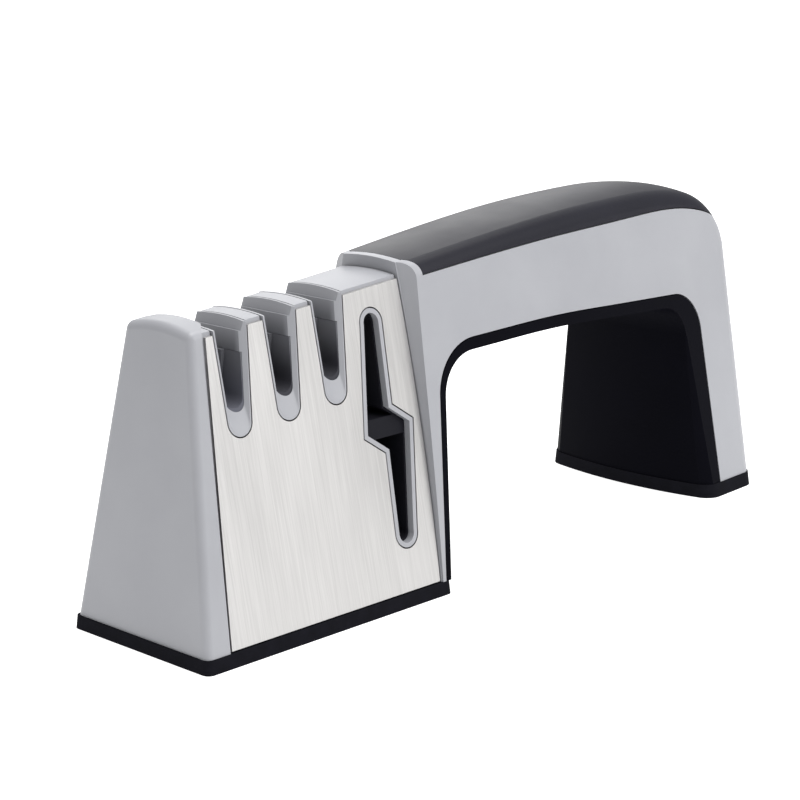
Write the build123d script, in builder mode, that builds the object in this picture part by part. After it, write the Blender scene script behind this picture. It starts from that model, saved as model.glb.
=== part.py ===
"""Pull-through sharpener for knives and scissors, with an arched handle.

The block with the slots stands at -X and the handle's foot at +X. The Z axis points up from the
surface that the sharpener stands on, and the origin is under the middle of its length. Millimetres.
"""
import os
from math import cos, radians, sin, tan

from build123d import *

os.makedirs("parts", exist_ok=True)

# Overall sizes
total_length = 220.0
front_x = -total_length / 2
rear_x = total_length / 2
block_length = 79.0
crest_z = 92.0
overrun = 20.0
headroom = 2.0
envelope_height = crest_z + headroom
seam = 0.35
clearance = 0.1

# Widths at the floor, and leans from upright in degrees
nose_half_width = 24.3
side_flare = 2.25
side_lean = 9.65
plate_lean = 12.3
end_lean = 6.0
seam_lean = 5.7
top_slope = 4.4

# Pads
pad_height = 3.5
pad_proud = 0.3
pad_corner = 2.0
foot_pad_height = 4.0

# Nose cap
nose_thickness = 7.5
nose_top_z = 79.6
nose_crown = 2.2
nose_crown_reach = 14.0
nose_edge_radius = 2.4
nose_corner_radius = 2.0
nose_turn = 41.0
nose_cut_reach = 16.0
nose_wall = 2.2
nose_foot_height = 18.0
nose_ceiling_z = 70.0

# Head cover and steel plates
plate_thickness = 0.8
plate_recess = 0.15
head_top_z = 80.8
head_crown = 1.1
head_crown_reach = 12.0
head_wall = 2.4
head_ceiling_z = 47.0
head_gap = 0.5

# The neck's front wall, from the foot of the block to the rim above it
neck_low_x = front_x + block_length
neck_mid_bow = 2.2
neck_mid_x = neck_low_x + neck_mid_bow
neck_high_bow = 1.4
neck_high_x = neck_low_x + neck_high_bow
neck_mid_z = 52.0
neck_high_z = 85.0
neck_low_turn = 4.0
neck_mid_turn = 12.0
neck_high_turn = 36.0
neck_turn_z = 94.0
neck_cut_reach = 16.0
rim_thickness = 2.2

# Knife slots
slot_names = ("coarse", "medium", "fine")
slot_pitch = 15.8
first_slot_setback = 22.1
first_slot_x = front_x + first_slot_setback
first_slot_z = 55.0
slot_rise = 1.05
slot_bottom_radius = 3.9
slot_tilt = 4.3
slot_taper = 4.3
slot_reach = 32.0
rim_radius = 3.1
rim_overrun_share = 0.3
inner_slot_radius = 3.0
inner_slot_raise = 5.8
inner_slot_taper = 4.0
mouth_depth = 1.0
lip_height = 2.2
lip_width = 0.7
cartridge_drop = 6.0
core_radius = 2.3
core_raise = 5.1
core_taper = 1.5
core_half_depth = 3.6

# Abrasives of the knife slots
sharpening_angle = 15.0
abrasive_crossing = 4.5
abrasive_foot = 4.0
abrasive_length = 15.0
abrasive_offset = 1.9
coarse_rod_radius = 1.25
fine_rod_radius = 1.45
carbide_width = 2.8
carbide_thickness = 2.0

# Scissors slot, an outline that repeats itself when it is turned half round
scissors_setback = 69.3
scissors_x = front_x + scissors_setback
scissors_z = 44.6
scissors_end_radius = 4.05
scissors_end_x = -0.35
scissors_end_z = 26.3
scissors_jog_x = 2.6
scissors_jog_z = 5.8
scissors_flank_x = 9.1
scissors_flank_z = 1.2
scissors_rim = 1.5
scissors_mouth_depth = 1.8
scissors_wall = 0.6
scissors_shelf = 5.0
scissors_rod_radius = 1.4
scissors_rod_length = 18.0
scissors_rod_tilt = 9.7
scissors_rod_x = -3.1
scissors_rod_z = 15.5

# Handle in plan, at the floor. Places along it are shares of the length from its start to the rear
handle_overlap = 14.0
handle_start_x = neck_low_x - handle_overlap
handle_length = rear_x - handle_start_x
handle_mid_share = 0.677
handle_mid_half_width = 30.2
handle_end_taper = 1.3
crown_overrun = 3.8
crown_half_depth = handle_mid_half_width + crown_overrun
cut_half_depth = 2 * handle_mid_half_width

# Handle from the side: crest, seam of the grip, arch and seam of the liner. Shares are of the
# handle's length and of the crest's or the ceiling's height
crest_shares = (
    (0.0, 0.904),
    (0.290, 0.959),
    (0.497, 0.989),
    (0.691, 1.0),
    (0.833, 0.991),
    (0.916, 0.954),
    (0.968, 0.883),
    (0.989, 0.783),
)
crest_start_slope_share = 0.12
grip_seam_shares = (
    (0.0, 0.863),
    (0.274, 0.900),
    (0.451, 0.917),
    (0.677, 0.928),
    (0.858, 0.921),
    (0.960, 0.871),
    (1.025, 0.793),
)
crest_crown = 3.0
crest_reach = 20.0
rear_crown = 0.7
crest_edge_radius = 5.0
leg_crown = 1.7
handle_seam = 0.3
leg_edge_radius = 5.0
corner_depth_share = 0.28
corner_rise_share = 0.3
leg_high_radius = 0.6
arch_ceiling_z = 60.7
arch_corner_shares = (0.95, 1.0, 0.983)
arch_middle_share = 0.445
neck_foot_depth = 3.2
neck_foot_lean = 7.4
arch_foot_x = neck_low_x + neck_foot_depth
leg_depth = 28.8
leg_foot_lean = 2.2
leg_foot_x = rear_x - leg_depth
leg_front_depth = 9.6
arch_leg_radius = 9.0
arch_neck_radius = 12.0
ceiling_bend_radius = 400.0
liner_thickness = 3.1
liner_neck_depth = 1.7
seam_leg_radius = 12.0
seam_neck_radius = 15.0
frame_wall = 2.4
frame_cavity_drop = 6.6
frame_cavity_z = arch_ceiling_z - frame_cavity_drop
frame_front_wall = 2.8
frame_shoulder_depth = 15.0
leg_wall = 2.6
leg_face_wall = 4.3
leg_cavity_z = 46.0

# Base plate, screws and bosses
base_plate_thickness = 2.5
base_plate_inset = 3.4
screw_radius = 1.5
screw_head_radius = 2.8
screw_head_height = 1.6
boss_radius = 3.6
base_screw_length = 12.0
neck_screw_length = 7.0
neck_screw_z = 68.0
neck_screw_y = 6.0
handle_screw_length = 20.0
handle_screw_shares = (0.262, 0.482, 0.702)
handle_boss_z = 66.5
handle_screw_recess = 0.4
grip_boss_top_share = 0.93
foot_plate_thickness = 2.5
foot_plate_gap = 0.3
foot_screw_setback = 11.0
foot_screw_x = rear_x - foot_screw_setback
foot_screw_y = 12.0
foot_boss_height = 18.0
foot_screw_length = 10.0
rib_thickness = 2.4


def side_half_width(x, z):
    """Half of the width between the grey flanks of the block."""
    return nose_half_width + (x - front_x) * tan(radians(side_flare)) - z * tan(radians(side_lean))


def plate_half_width(x, z):
    """Half of the width between the outer faces of the steel plates."""
    foot = nose_half_width - pad_height * tan(radians(side_lean)) - plate_recess
    return foot + (x - front_x) * tan(radians(side_flare)) - (z - pad_height) * tan(radians(plate_lean))


def head_top(x):
    """Height of the block's top at the plates."""
    return head_top_z + (x - neck_high_x) * tan(radians(top_slope))


def nose_back(z):
    """Where the nose cap ends at a height."""
    return front_x + nose_thickness + z * tan(radians(seam_lean))


def outline(points, plane=Plane.XZ):
    """A flat face with straight edges."""
    with BuildSketch(plane) as sketch:
        with BuildLine():
            Polyline(*points, close=True)
        make_face()
    return sketch.sketch


def through(face, half_depth=cut_half_depth):
    """A solid that carries a face of the middle plane to both flanks."""
    with BuildPart() as body:
        extrude(face, amount=half_depth, both=True)
    return body.part


def crowned(draw, reach):
    """A solid whose outline changes with the square of the distance from the middle plane."""
    places = (-crown_half_depth, 0, crown_half_depth)
    with BuildPart() as body:
        loft([draw((place / reach) ** 2, Plane.XZ.offset(place)).face() for place in places])
    return body.part


def handle_x(share):
    """A place along the handle."""
    return handle_start_x + handle_length * share


def flanked_block(half_width, inset, high_z=head_top_z + head_crown + headroom):
    """A solid between two leaning flanks, longer than the block at both ends."""
    low_x = front_x - overrun
    high_x = neck_low_x + overrun
    with BuildPart() as block:
        for level in (0, high_z):
            with BuildSketch(Plane.XY.offset(level)):
                with BuildLine():
                    Polyline(
                        (low_x, half_width(low_x, level) - inset),
                        (high_x, half_width(high_x, level) - inset),
                        (high_x, inset - half_width(high_x, level)),
                        (low_x, inset - half_width(low_x, level)),
                        close=True,
                    )
                make_face()
        loft(ruled=True)
    return block.part


def handle_plan(level, inset):
    """The handle from above at a height. Its flanks bow out a little."""
    lean = level * tan(radians(side_lean)) + inset
    stations = (
        (handle_start_x, side_half_width(handle_start_x, 0) - lean),
        (handle_x(handle_mid_share), handle_mid_half_width - lean),
        (rear_x + overrun, handle_mid_half_width - handle_end_taper - lean),
    )
    with BuildSketch(Plane.XY.offset(level)) as sketch:
        with BuildLine():
            left = ThreePointArc(*stations)
            right = ThreePointArc(*[(x, -half) for x, half in stations])
            Line(left @ 0, right @ 0)
            Line(left @ 1, right @ 1)
        make_face()
    return sketch.sketch


def handle_block(inset, high_z=envelope_height):
    """A solid between the handle's leaning flanks."""
    with BuildPart() as block:
        loft([handle_plan(level, inset).face() for level in (0, high_z)], ruled=True)
    return block.part


def finish(piece, name):
    """Labels a finished piece and writes it."""
    piece.part.label = name
    export_step(piece.part, "parts/" + name + ".step")


def screw(plane, length):
    """A pan head screw whose head stands on a plane and whose shank goes down from it."""
    with BuildPart(plane) as body:
        Cylinder(screw_head_radius, screw_head_height, align=(Align.CENTER, Align.CENTER, Align.MIN))
        Cylinder(screw_radius, length, align=(Align.CENTER, Align.CENTER, Align.MAX))
        chamfer(body.faces().sort_by(Axis(plane.origin, plane.z_dir))[-1].edges(), screw_head_height / 4)
        with BuildSketch(plane.offset(screw_head_height)):
            Rectangle(screw_head_radius, screw_radius / 3)
            Rectangle(screw_radius / 3, screw_head_radius)
        extrude(amount=-screw_head_height / 2, mode=Mode.SUBTRACT)
    return body.part


def screw_hole(plane, length):
    """The room that a screw takes, head and shank."""
    with BuildPart(plane) as body:
        Cylinder(
            screw_head_radius + clearance, cut_half_depth, align=(Align.CENTER, Align.CENTER, Align.MIN)
        )
        Cylinder(
            screw_radius + clearance, length + clearance, align=(Align.CENTER, Align.CENTER, Align.MAX)
        )
    return body.part


# Solids that bound the block: its grey flanks and its steel plates
nose_body = flanked_block(side_half_width, 0)
nose_core = flanked_block(side_half_width, nose_wall)
plate_body = flanked_block(plate_half_width, 0)
plate_back = flanked_block(plate_half_width, plate_thickness)
cover_core = flanked_block(plate_half_width, plate_thickness + head_wall, head_ceiling_z)


def neck_front(shift, low_z=-overrun, high_z=envelope_height + overrun):
    """Everything behind the neck's front wall, moved along X by a shift."""
    with BuildSketch(Plane.XZ) as sketch:
        with BuildLine():
            wall_line = ThreePointArc(
                (neck_low_x + shift, pad_height),
                (neck_mid_x + shift, neck_mid_z),
                (neck_high_x + shift, neck_high_z),
            )
            Polyline(
                wall_line @ 1,
                (neck_high_x + shift, high_z),
                (rear_x + overrun, high_z),
                (rear_x + overrun, low_z),
                (neck_low_x + shift, low_z),
                wall_line @ 0,
            )
        make_face()
    return through(sketch.sketch)


def neck_corner(shift):
    """The wedge that turns the neck's front corner away from the steel plate."""
    stations = (
        (0, neck_low_x, neck_low_turn),
        (neck_mid_z, neck_mid_x, neck_mid_turn),
        (neck_turn_z, neck_high_x, neck_high_turn),
    )
    with BuildPart() as body:
        for level, x, turn in stations:
            edge = -plate_half_width(x, level)
            reach_x = x + neck_cut_reach * sin(radians(turn))
            reach_y = edge - neck_cut_reach * cos(radians(turn))
            with BuildSketch(Plane.XY.offset(level)):
                with BuildLine():
                    Polyline(
                        (x + shift, edge),
                        (reach_x + shift, reach_y),
                        (x - neck_cut_reach, reach_y),
                        (x - neck_cut_reach, edge),
                        close=True,
                    )
                make_face()
        loft()
        mirror(about=Plane.XZ)
    return body.part


def slot_place(number):
    """Centre of the round bottom of a knife slot."""
    return first_slot_x + number * slot_pitch, first_slot_z + number * slot_rise


def slot_plane(number, side=0, inset=0.0):
    """An upright plane at a slot's round bottom: the middle one, or one behind a steel face."""
    x, z = slot_place(number)
    lean = radians(side * plate_lean)
    place = (x, side * (plate_half_width(x, z) - inset / cos(lean)), z)
    return Plane(origin=place, x_dir=(1, 0, 0), z_dir=(0, -cos(lean), -sin(lean)))


def slot_outline(plane, radius, taper, raised=0.0):
    """A knife slot's outline: a round bottom between two straight flanks, open at the top."""
    left = radians(slot_tilt - taper)
    right = radians(slot_tilt + taper)
    with BuildSketch(plane) as sketch:
        with BuildLine():
            foot = ThreePointArc(
                (-radius * cos(left), raised + radius * sin(left)),
                (0, raised - radius),
                (radius * cos(right), raised - radius * sin(right)),
            )
            Polyline(
                foot @ 0,
                foot @ 0 + Vector(slot_reach * tan(left), slot_reach),
                foot @ 1 + Vector(slot_reach * tan(right), slot_reach),
                foot @ 1,
            )
        make_face()
    return sketch.sketch


def scissors_outline(grow):
    """The scissors slot's outline, made wider all round by a length."""
    upper = (
        (scissors_jog_x, scissors_jog_z),
        (scissors_end_x + scissors_end_radius, scissors_end_z),
        (scissors_end_x, scissors_end_z + scissors_end_radius),
        (scissors_end_x - scissors_end_radius, scissors_end_z),
        (-scissors_flank_x, -scissors_flank_z),
    )
    ahead = [(scissors_x + x, scissors_z + z) for x, z in upper]
    behind = [(scissors_x - x, scissors_z - z) for x, z in upper]
    with BuildSketch(Plane.XZ) as sketch:
        with BuildLine():
            for near, far in ((ahead, behind), (behind, ahead)):
                Line(near[0], near[1])
                ThreePointArc(near[1], near[2], near[3])
                Polyline(near[3], near[4], far[0])
        make_face()
        if grow:
            offset(amount=grow, kind=Kind.INTERSECTION, mode=Mode.REPLACE)
    return sketch.sketch


# Base pad under the block
with BuildPart() as base_pad:
    pad_back = arch_foot_x + seam
    for level in (0, pad_height):
        with BuildSketch(Plane.XY.offset(level)):
            with BuildLine():
                Polyline(
                    (front_x, side_half_width(front_x, level) + pad_proud),
                    (pad_back, side_half_width(pad_back, level) + pad_proud),
                    (pad_back, -side_half_width(pad_back, level) - pad_proud),
                    (front_x, -side_half_width(front_x, level) - pad_proud),
                    close=True,
                )
            make_face()
    loft(ruled=True)
    fillet(base_pad.edges().filter_by(Plane.XY, reverse=True), pad_corner)
finish(base_pad, "base_pad")

# Base plate, let into the undersides of the nose cap and the head cover
with BuildPart() as base_plate:
    plate_front = front_x + base_plate_inset
    plate_rear = neck_low_x - head_wall - head_gap
    with BuildSketch(Plane.XY.offset(pad_height)):
        with BuildLine():
            Polyline(
                (plate_front, side_half_width(plate_front, pad_height) - base_plate_inset),
                (plate_rear, side_half_width(plate_rear, pad_height) - base_plate_inset),
                (plate_rear, base_plate_inset - side_half_width(plate_rear, pad_height)),
                (plate_front, base_plate_inset - side_half_width(plate_front, pad_height)),
                close=True,
            )
        make_face()
    extrude(amount=base_plate_thickness)
plate_room = offset(base_plate.part, amount=clearance)

base_top = pad_height + base_plate_thickness
base_screw_z = pad_height + screw_head_height
nose_screw_x = (plate_front + nose_back(pad_height)) / 2
nose_screw_y = nose_half_width / 2
cover_screw_y = nose_half_width / 2 - boss_radius
cover_screw_places = (
    first_slot_x - slot_bottom_radius,
    first_slot_x + 2 * slot_pitch,
)
base_screw_spots = [(nose_screw_x, side * nose_screw_y) for side in (-1, 1)]
base_screw_spots += [(x, side * cover_screw_y) for x in cover_screw_places for side in (-1, 1)]
base_screw_planes = [
    Plane(origin=(x, y, base_screw_z), x_dir=(1, 0, 0), z_dir=(0, 0, -1)) for x, y in base_screw_spots
]

with BuildPart() as base_screws:
    for spot in base_screw_planes:
        add(screw(spot, base_screw_length))
finish(base_screws, "base_screws")

with BuildPart() as drilled_plate:
    add(base_plate.part)
    for spot in base_screw_planes:
        add(screw_hole(spot, base_screw_length), mode=Mode.SUBTRACT)
finish(drilled_plate, "base_plate")


# Nose cap
def nose_outline(share, plane):
    """The nose from the side, lower towards the flanks."""
    top = nose_top_z - nose_crown * share
    lean = tan(radians(end_lean))
    front = front_x + pad_proud
    points = (
        (front + pad_height * lean, pad_height),
        (front + top * lean, top - nose_thickness * tan(radians(top_slope))),
        (nose_back(top), top),
        (nose_back(pad_height), pad_height),
    )
    return outline(points, plane)


def is_nose_upright(edge):
    """The upright edges of the nose's end face."""
    place = edge.center()
    return place.X < nose_back(place.Z) - nose_thickness / 2 and abs(place.Y) > nose_half_width / 2


def is_nose_top(edge):
    """The edges round the nose's top, apart from the one towards the slots."""
    place = edge.center()
    on_back = place.X > nose_back(place.Z) - nose_thickness / 8
    return place.Z > nose_top_z - nose_thickness and not on_back


def nose_corner():
    """The wedge that turns the nose's rear corner away from the steel plate."""
    with BuildPart() as body:
        for level in (0, envelope_height):
            x = nose_back(level)
            edge = -plate_half_width(x, level)
            reach_x = x - nose_cut_reach * sin(radians(nose_turn))
            reach_y = edge - nose_cut_reach * cos(radians(nose_turn))
            with BuildSketch(Plane.XY.offset(level)):
                with BuildLine():
                    Polyline(
                        (x, edge),
                        (reach_x, reach_y),
                        (x + overrun, reach_y),
                        (x + overrun, edge),
                        close=True,
                    )
                make_face()
        loft(ruled=True)
        mirror(about=Plane.XZ)
    return body.part


with BuildPart() as nose_cavity:
    add(through(outline((
        (nose_back(nose_foot_height) - nose_thickness + nose_wall, nose_foot_height),
        (nose_back(nose_ceiling_z) - nose_thickness + nose_wall, nose_ceiling_z),
        (nose_back(nose_ceiling_z) + overrun, nose_ceiling_z),
        (nose_back(nose_foot_height) + overrun, nose_foot_height),
    ))))
    add(nose_core, mode=Mode.INTERSECT)

with BuildPart() as nose_cap:
    add(crowned(nose_outline, nose_crown_reach))
    add(nose_body, mode=Mode.INTERSECT)
    fillet(nose_cap.edges().filter_by(is_nose_upright), nose_corner_radius)
    fillet(nose_cap.edges().filter_by(is_nose_top), nose_edge_radius)
    add(nose_cavity.part, mode=Mode.SUBTRACT)
    add(plate_room, mode=Mode.SUBTRACT)
    add(nose_corner(), mode=Mode.SUBTRACT)
    for spot in base_screw_planes:
        add(screw_hole(spot, base_screw_length), mode=Mode.SUBTRACT)
finish(nose_cap, "nose_cap")

# The room between the nose cap and the neck, and the crowned form of the block's top
with BuildPart() as block_room:
    add(through(outline((
        (nose_back(pad_height) + head_gap, pad_height),
        (nose_back(envelope_height) + head_gap, envelope_height),
        (0, envelope_height),
        (0, pad_height),
    ))))
    add(neck_front(-head_gap), mode=Mode.SUBTRACT)


def head_outline(share, plane):
    """The block's top from the side, lower towards the flanks."""
    crown = head_crown * (1 - share)
    points = (
        (front_x, pad_height),
        (front_x, head_top(front_x) + crown),
        (0, head_top(0) + crown),
        (0, pad_height),
    )
    return outline(points, plane)


with BuildPart() as block_form:
    add(crowned(head_outline, head_crown_reach))
    add(block_room.part, mode=Mode.INTERSECT)

neck_screw_planes = [
    Plane(
        origin=(neck_mid_x + frame_front_wall, side * neck_screw_y, neck_screw_z),
        x_dir=(0, 1, 0),
        z_dir=(1, 0, 0),
    )
    for side in (-1, 1)
]
slot_cuts = [
    through(slot_outline(slot_plane(number), slot_bottom_radius, slot_taper))
    for number in range(len(slot_names))
]
scissors_cut = through(scissors_outline(0))

# Head cover
with BuildPart() as cover_cavity:
    add(through(outline((
        (nose_back(0) + head_gap + head_wall, 0),
        (nose_back(head_ceiling_z) + head_gap + head_wall, head_ceiling_z),
        (neck_mid_x - head_gap - head_wall, head_ceiling_z),
        (neck_low_x - head_gap - head_wall, 0),
    ))))
    add(cover_core, mode=Mode.INTERSECT)

with BuildPart() as head_cover:
    add(block_form.part)
    add(plate_back, mode=Mode.INTERSECT)
    add(cover_cavity.part, mode=Mode.SUBTRACT)
    with BuildSketch(Plane.XY.offset(base_top + clearance)):
        with Locations(*base_screw_spots[2:]):
            Circle(boss_radius)
    extrude(amount=head_ceiling_z - base_top)
    add(plate_room, mode=Mode.SUBTRACT)
    for cut in slot_cuts:
        add(cut, mode=Mode.SUBTRACT)
    add(scissors_cut, mode=Mode.SUBTRACT)
    for spot in base_screw_planes:
        add(screw_hole(spot, base_screw_length), mode=Mode.SUBTRACT)
    for spot in neck_screw_planes:
        add(screw_hole(spot, neck_screw_length), mode=Mode.SUBTRACT)
finish(head_cover, "head_cover")

# Steel face plates
with BuildPart() as front_face_plate:
    extrude(outline((
        (nose_back(pad_height) + head_gap, pad_height + seam),
        (nose_back(head_top_z) + head_gap, head_top(nose_back(head_top_z)) - seam),
        (0, head_top(0) - seam),
        (0, pad_height + seam),
    )), amount=cut_half_depth)
    add(block_room.part, mode=Mode.INTERSECT)
    add(plate_body, mode=Mode.INTERSECT)
    add(plate_back, mode=Mode.SUBTRACT)
    for cut in slot_cuts:
        add(cut, mode=Mode.SUBTRACT)
    add(scissors_cut, mode=Mode.SUBTRACT)
finish(front_face_plate, "front_face_plate")

with BuildPart() as rear_face_plate:
    add(mirror(front_face_plate.part, about=Plane.XZ))
finish(rear_face_plate, "rear_face_plate")


# Knife slots: a grey liner with flared mouths, a dark cartridge inside it and two abrasives
def slot_axis(number, height):
    """A point on a slot's middle line, above the centre of its round bottom."""
    x, z = slot_place(number)
    return x + height * tan(radians(slot_tilt)), z + height


def slot_mouth(number, side):
    """The flare from the inner slot to the rim of one steel face."""
    sections = []
    for share in (-rim_overrun_share, 1):
        plane = slot_plane(number, side, mouth_depth * share)
        radius = rim_radius + (inner_slot_radius - rim_radius) * share
        taper = slot_taper + (inner_slot_taper - slot_taper) * share
        sections.append(slot_outline(plane, radius, taper, inner_slot_raise * share).face())
    with BuildPart() as mouth:
        loft(sections, ruled=True)
    return mouth.part


def slot_lip(number):
    """The chamfer along the top edges of a slot."""
    top = head_top(slot_place(number)[0]) + head_crown - slot_place(number)[1]
    low = top - lip_height
    narrow = inner_slot_radius + (low - inner_slot_raise) * tan(radians(inner_slot_taper))
    low_x, low_z = slot_axis(number, low)
    high_x, high_z = slot_axis(number, top + lip_height)
    wide = narrow + 2 * lip_width
    return through(outline((
        (low_x - narrow, low_z),
        (high_x - wide, high_z),
        (high_x + wide, high_z),
        (low_x + narrow, low_z),
    )))


def abrasive_plane(number, side):
    """The foot of one abrasive, whose axis crosses the other one's over the slot's bottom."""
    turn = radians(slot_tilt + side * sharpening_angle)
    x, z = slot_axis(number, abrasive_crossing)
    foot = (x - abrasive_foot * sin(turn), side * abrasive_offset, z - abrasive_foot * cos(turn))
    return Plane(origin=foot, x_dir=(0, 1, 0), z_dir=(sin(turn), 0, cos(turn)))


def abrasive(number, side, grow=0.0):
    """A rod or a blade of the given slot, made larger all round by a length."""
    length = abrasive_length + grow
    with BuildPart(abrasive_plane(number, side)) as body:
        if slot_names[number] == "medium":
            Box(
                carbide_thickness + 2 * grow,
                carbide_width + 2 * grow,
                length,
                align=(Align.CENTER, Align.CENTER, Align.MIN),
            )
        else:
            radius = coarse_rod_radius if slot_names[number] == "coarse" else fine_rod_radius
            Cylinder(radius + grow, length, align=(Align.CENTER, Align.CENTER, Align.MIN))
    return body.part


abrasive_names = {"coarse": "diamond_rod", "medium": "carbide_blade", "fine": "ceramic_rod"}
for number, slot_name in enumerate(slot_names):
    middle = slot_plane(number)
    inner_slot = through(slot_outline(middle, inner_slot_radius, inner_slot_taper, inner_slot_raise))
    core_slot = through(slot_outline(middle, core_radius, core_taper, core_raise))
    slot_body = slot_outline(middle, slot_bottom_radius - seam, slot_taper)
    cartridge_top = head_top(slot_place(number)[0]) - cartridge_drop
    with BuildPart() as cartridge:
        extrude(slot_body, amount=cut_half_depth, both=True)
        add(flanked_block(plate_half_width, mouth_depth), mode=Mode.INTERSECT)
        add(inner_slot, mode=Mode.SUBTRACT)
        extrude(slot_body, amount=core_half_depth, both=True)
        add(core_slot, mode=Mode.SUBTRACT)
        split(bisect_by=Plane.XY.offset(cartridge_top), keep=Keep.BOTTOM)
        for side in (-1, 1):
            add(abrasive(number, side, clearance / 2), mode=Mode.SUBTRACT)
    finish(cartridge, slot_name + "_cartridge")
    with BuildPart() as pocket:
        add(flanked_block(plate_half_width, mouth_depth - clearance))
        split(bisect_by=Plane.XY.offset(cartridge_top + clearance), keep=Keep.BOTTOM)
    with BuildPart() as liner:
        extrude(slot_body, amount=cut_half_depth, both=True)
        add(plate_body, mode=Mode.INTERSECT)
        add(block_form.part, mode=Mode.INTERSECT)
        add(inner_slot, mode=Mode.SUBTRACT)
        add(pocket.part, mode=Mode.SUBTRACT)
        add(slot_lip(number), mode=Mode.SUBTRACT)
        for side in (-1, 1):
            add(slot_mouth(number, side), mode=Mode.SUBTRACT)
    finish(liner, slot_name + "_slot_liner")
    for side, side_name in ((-1, "front"), (1, "rear")):
        with BuildPart() as piece:
            add(abrasive(number, side))
        finish(piece, abrasive_names[slot_name] + "_" + side_name)

# Scissors slot: a grey liner right through the block, a dark cartridge and two ceramic rods
with BuildPart() as scissors_slot_liner:
    add(through(scissors_outline(-seam)))
    add(plate_body, mode=Mode.INTERSECT)
    add(through(scissors_outline(-scissors_rim)), mode=Mode.SUBTRACT)
finish(scissors_slot_liner, "scissors_slot_liner")


def scissors_rod(half, grow=0.0):
    """A rod along the flank of one half of the scissors slot."""
    turn = radians(scissors_rod_tilt)
    middle = (scissors_x + half * scissors_rod_x, 0, scissors_z + half * scissors_rod_z)
    with BuildPart(Plane(origin=middle, z_dir=(sin(turn), 0, cos(turn)))) as body:
        Cylinder(scissors_rod_radius + grow, scissors_rod_length + 2 * grow)
    return body.part


with BuildPart() as scissors_windows:
    add(through(scissors_outline(-scissors_rim - scissors_wall)))
    with Locations((scissors_x, 0, scissors_z)):
        Box(cut_half_depth, cut_half_depth * 3, scissors_shelf, mode=Mode.SUBTRACT)

with BuildPart() as scissors_cartridge:
    add(through(scissors_outline(-scissors_rim - clearance)))
    add(flanked_block(plate_half_width, scissors_mouth_depth), mode=Mode.INTERSECT)
    add(scissors_windows.part, mode=Mode.SUBTRACT)
    for half in (-1, 1):
        add(scissors_rod(half, clearance / 2), mode=Mode.SUBTRACT)
finish(scissors_cartridge, "scissors_cartridge")

for half, half_name in ((1, "upper"), (-1, "lower")):
    with BuildPart() as piece:
        add(scissors_rod(half))
    finish(piece, "scissors_ceramic_rod_" + half_name)


# Handle: the heights where the leg's rounded face ends and where its back meets the crest
leg_round_z = arch_ceiling_z * arch_corner_shares[0] - arch_leg_radius
leg_top_z = crest_z * crest_shares[-1][1]


def arch_line(front_depth, ceiling_depth, neck_depth, bow=0.0):
    """The arch's outline from the leg over the ceiling to the neck, grown by three depths."""
    leg_radius = seam_leg_radius if ceiling_depth else arch_leg_radius
    neck_radius = seam_neck_radius if ceiling_depth else arch_neck_radius
    leg_x = leg_foot_x + front_depth + bow
    neck_x = arch_foot_x - neck_depth
    places = (leg_x - leg_foot_lean, handle_x(arch_middle_share), neck_x + neck_foot_lean)
    heights = [arch_ceiling_z * share + ceiling_depth for share in arch_corner_shares]
    return FilletPolyline(
        (leg_x, foot_pad_height),
        *zip(places, heights),
        (neck_x, pad_height),
        radius=[leg_radius, ceiling_bend_radius, neck_radius],
    )


def leg_front(level):
    """Where the leg's face stands at a height."""
    rise = (level - foot_pad_height) / (arch_ceiling_z * arch_corner_shares[0] - foot_pad_height)
    return leg_foot_x - leg_foot_lean * rise


def leg_rear(level):
    """Where the leg's back stands at a height."""
    foot_x = rear_x - pad_proud
    return foot_x - (foot_x - handle_x(crest_shares[-1][0])) * level / leg_top_z


def leg_plan(level, grow):
    """The leg from above at a height, with sharp corners."""
    bow_share = (crown_half_depth / crest_reach) ** 2
    face_x = leg_front(level) - grow
    back_x = leg_rear(level) + grow
    with BuildSketch(Plane.XY.offset(level)) as sketch:
        with BuildLine():
            face_line = ThreePointArc(
                (face_x + leg_crown * bow_share, -crown_half_depth),
                (face_x, 0),
                (face_x + leg_crown * bow_share, crown_half_depth),
            )
            back_line = ThreePointArc(
                (back_x - rear_crown * bow_share, -crown_half_depth),
                (back_x, 0),
                (back_x - rear_crown * bow_share, crown_half_depth),
            )
            Line(face_line @ 0, back_line @ 0)
            Line(face_line @ 1, back_line @ 1)
        make_face()
        add(handle_plan(level, -grow), mode=Mode.INTERSECT)
    return sketch.sketch


def pad_plan(level):
    """The foot pad from above, with rounded corners."""
    with BuildSketch(Plane.XY.offset(level)) as sketch:
        add(leg_plan(level, pad_proud))
        fillet(sketch.vertices().sort_by(Axis.X)[-2:], crest_edge_radius + pad_proud)
        fillet(sketch.vertices().sort_by(Axis.X)[:2], leg_edge_radius)
    return sketch.sketch


def leg_corner_cut(side):
    """What rounds off one upright corner of the leg's face, less towards the ceiling."""
    sections = []
    for level, radius in ((-overrun, leg_edge_radius), (leg_round_z, leg_high_radius)):
        corner = leg_plan(level, 0).vertices().sort_by(Axis.X)[:2].sort_by(Axis.Y)[max(side, 0)]
        middle = radius * corner_depth_share
        rise = radius * corner_rise_share
        ends = [
            (corner.X - rise, corner.Y - side * radius),
            (corner.X + radius, corner.Y + side * rise),
        ]
        with BuildSketch(Plane.XY.offset(level)) as sketch:
            with BuildLine():
                ThreePointArc(ends[0], (corner.X + middle, corner.Y - side * middle), ends[1])
                Polyline(ends[1], (corner.X - radius, corner.Y + side * radius), ends[0])
            make_face()
        sections.append(sketch.sketch.face())
    with BuildPart() as cut:
        loft(sections, ruled=True)
    return cut.part


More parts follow.
